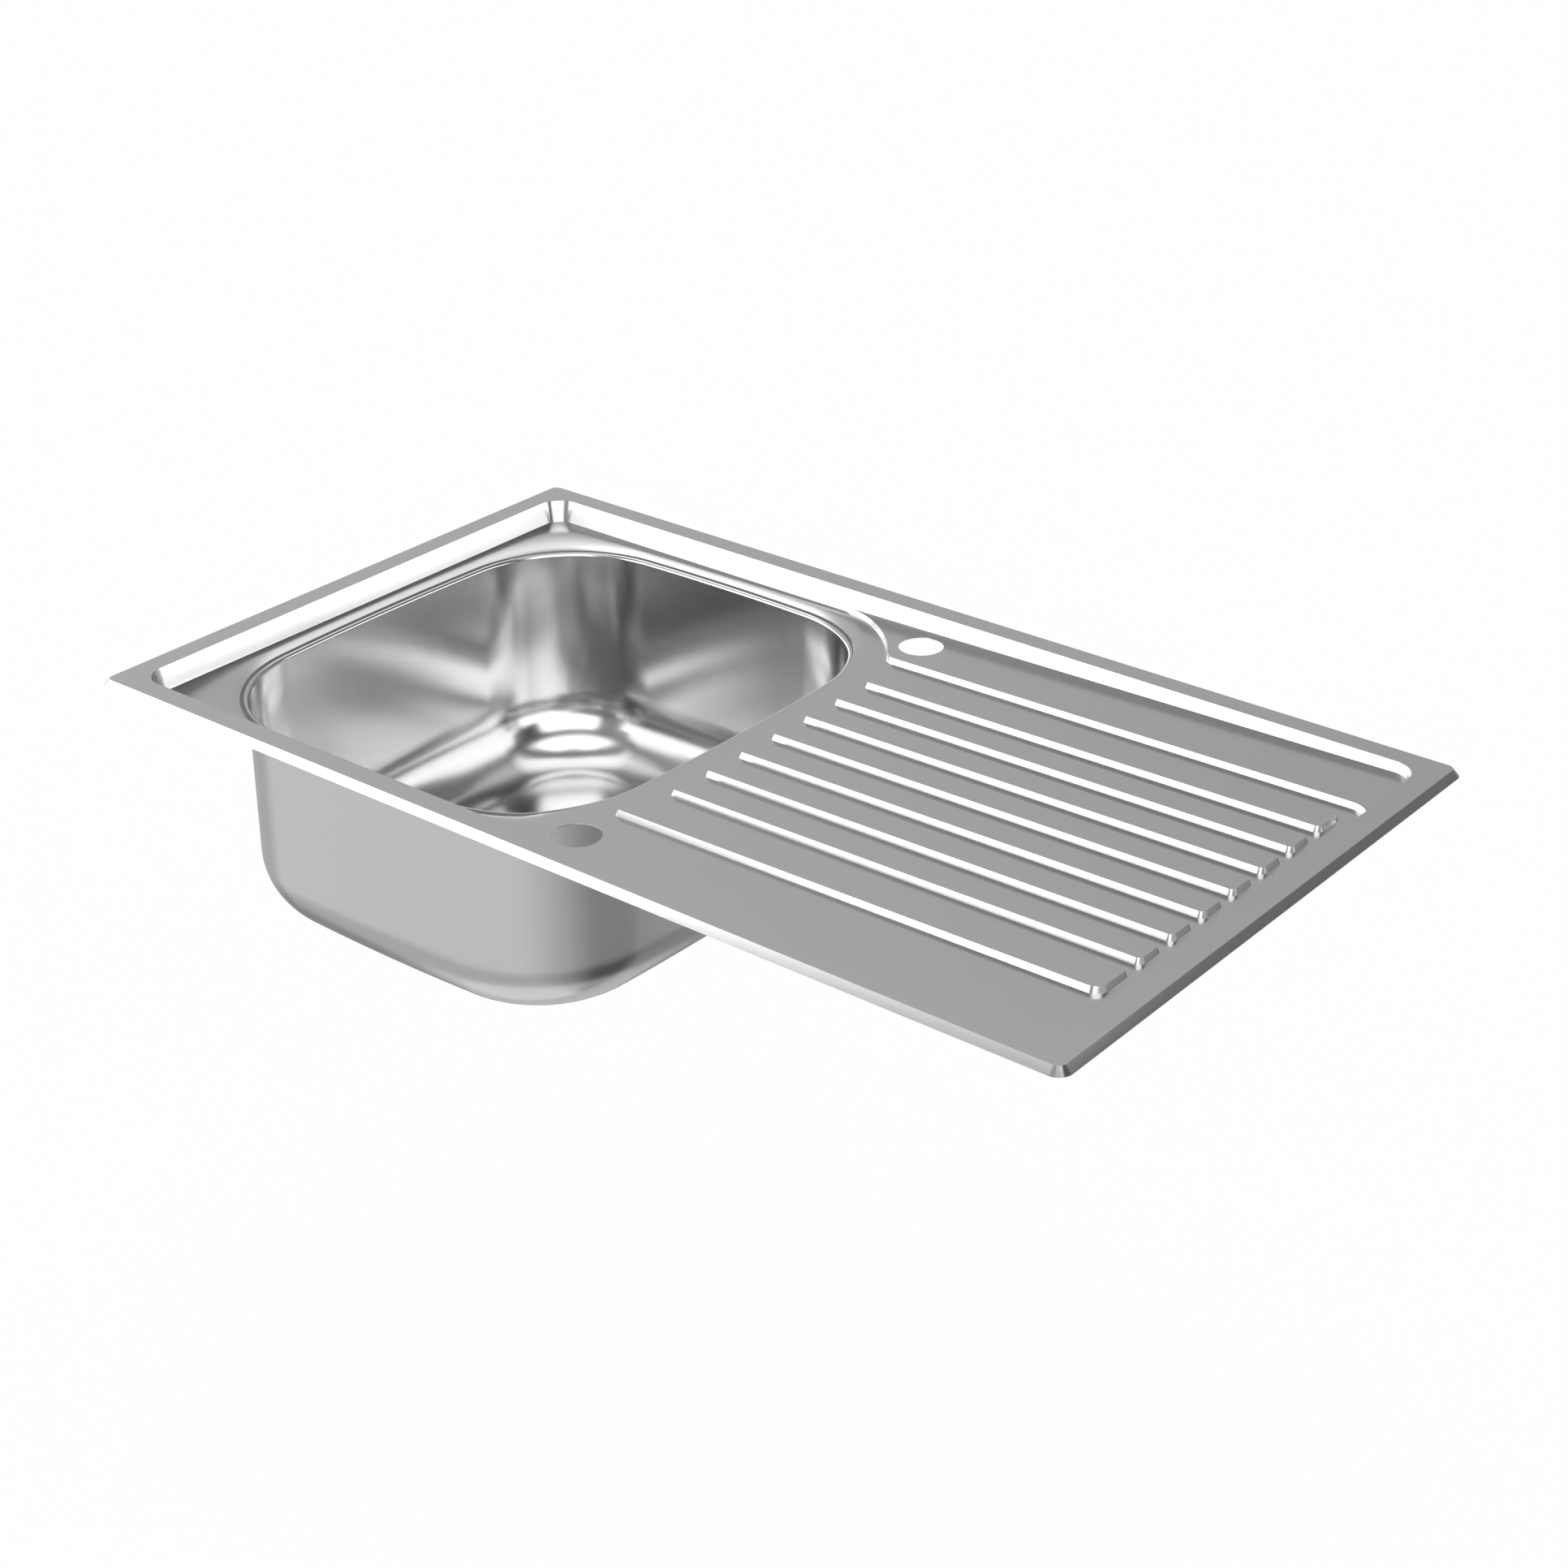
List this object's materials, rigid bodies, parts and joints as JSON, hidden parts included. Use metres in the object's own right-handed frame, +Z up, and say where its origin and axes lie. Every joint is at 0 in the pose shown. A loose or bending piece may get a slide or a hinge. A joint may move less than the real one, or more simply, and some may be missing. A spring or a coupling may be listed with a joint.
{
  "type": "kitchen sink with drainboard",
  "caption": "Inset stainless kitchen sink: deep rounded bowl, ribbed drainboard on its right, tap ledge with tap holes, basket strainer waste and fold-out fixing clips.",
  "frame": {"origin": "centre of the rim's outline on the worktop's top face, where the rim's lower edge rests", "axes": "+X along the length towards the drainboard end, +Y towards the wall behind the tap ledge, +Z up"},
  "size_m": [0.86, 0.5, 0.2781],
  "materials": {
    "sink_steel": "fine satin",
    "polished_steel": "polished",
    "rail_steel": "plain",
    "clip_steel": "zinc plated",
    "screw_steel": "zinc plated",
    "seal_rubber": "matt",
    "damping_rubber": "matt",
    "waste_plastic": "moulded",
    "knob_plastic": "moulded"
  },
  "bodies": {
    "sink": {"deck": "sink_steel", "bowl": "sink_steel", "weld_seam": "sink_steel", "rim_gasket": "seal_rubber", "damping_pad": "damping_rubber", "rail_front": "rail_steel", "rail_back": "rail_steel", "clip_brackets": "clip_steel", "waste_seal_top": "seal_rubber", "strainer_cup": "polished_steel", "waste_seal_bottom": "seal_rubber", "waste_body": "waste_plastic", "waste_screw": "clip_steel"},
    "clip_arm_1": {"clip_arm_1": "clip_steel"},
    "clamp_screw_1": {"clamp_screw_1": "screw_steel"},
    "clip_arm_2": {"clip_arm_2": "clip_steel"},
    "clamp_screw_2": {"clamp_screw_2": "screw_steel"},
    "clip_arm_3": {"clip_arm_3": "clip_steel"},
    "clamp_screw_3": {"clamp_screw_3": "screw_steel"},
    "clip_arm_4": {"clip_arm_4": "clip_steel"},
    "clamp_screw_4": {"clamp_screw_4": "screw_steel"},
    "clip_arm_5": {"clip_arm_5": "clip_steel"},
    "clamp_screw_5": {"clamp_screw_5": "screw_steel"},
    "clip_arm_6": {"clip_arm_6": "clip_steel"},
    "clamp_screw_6": {"clamp_screw_6": "screw_steel"},
    "basket": {"basket": "polished_steel", "basket_plug": "seal_rubber", "basket_stem": "polished_steel", "basket_knob": "knob_plastic"}
  },
  "joints": [
    {"name": "clip_arm_1_swing", "type": "hinge", "parent": "sink", "child": "clip_arm_1", "pos_m": [-0.386, -0.206, -0.0205], "axis": [-1, 0, 0], "range_deg": [0, 150]},
    {"name": "clamp_screw_1_travel", "type": "slide", "parent": "clip_arm_1", "child": "clamp_screw_1", "axis": [0, 0, -1], "range_m": [0, 0.006]},
    {"name": "clip_arm_2_swing", "type": "hinge", "parent": "sink", "child": "clip_arm_2", "pos_m": [0.05, -0.206, -0.0205], "axis": [-1, 0, 0], "range_deg": [0, 150]},
    {"name": "clamp_screw_2_travel", "type": "slide", "parent": "clip_arm_2", "child": "clamp_screw_2", "axis": [0, 0, -1], "range_m": [0, 0.006]},
    {"name": "clip_arm_3_swing", "type": "hinge", "parent": "sink", "child": "clip_arm_3", "pos_m": [0.35, -0.206, -0.0205], "axis": [-1, 0, 0], "range_deg": [0, 150]},
    {"name": "clamp_screw_3_travel", "type": "slide", "parent": "clip_arm_3", "child": "clamp_screw_3", "axis": [0, 0, -1], "range_m": [0, 0.006]},
    {"name": "clip_arm_4_swing", "type": "hinge", "parent": "sink", "child": "clip_arm_4", "pos_m": [-0.386, 0.206, -0.0205], "axis": [1, 0, 0], "range_deg": [0, 150]},
    {"name": "clamp_screw_4_travel", "type": "slide", "parent": "clip_arm_4", "child": "clamp_screw_4", "axis": [0, 0, -1], "range_m": [0, 0.006]},
    {"name": "clip_arm_5_swing", "type": "hinge", "parent": "sink", "child": "clip_arm_5", "pos_m": [0.05, 0.206, -0.0205], "axis": [1, 0, 0], "range_deg": [0, 150]},
    {"name": "clamp_screw_5_travel", "type": "slide", "parent": "clip_arm_5", "child": "clamp_screw_5", "axis": [0, 0, -1], "range_m": [0, 0.006]},
    {"name": "clip_arm_6_swing", "type": "hinge", "parent": "sink", "child": "clip_arm_6", "pos_m": [0.35, 0.206, -0.0205], "axis": [1, 0, 0], "range_deg": [0, 150]},
    {"name": "clamp_screw_6_travel", "type": "slide", "parent": "clip_arm_6", "child": "clamp_screw_6", "axis": [0, 0, -1], "range_m": [0, 0.006]},
    {"name": "basket_lift", "type": "slide", "parent": "sink", "child": "basket", "axis": [0, 0, 1], "range_m": [0, 0.04]}
  ]
}
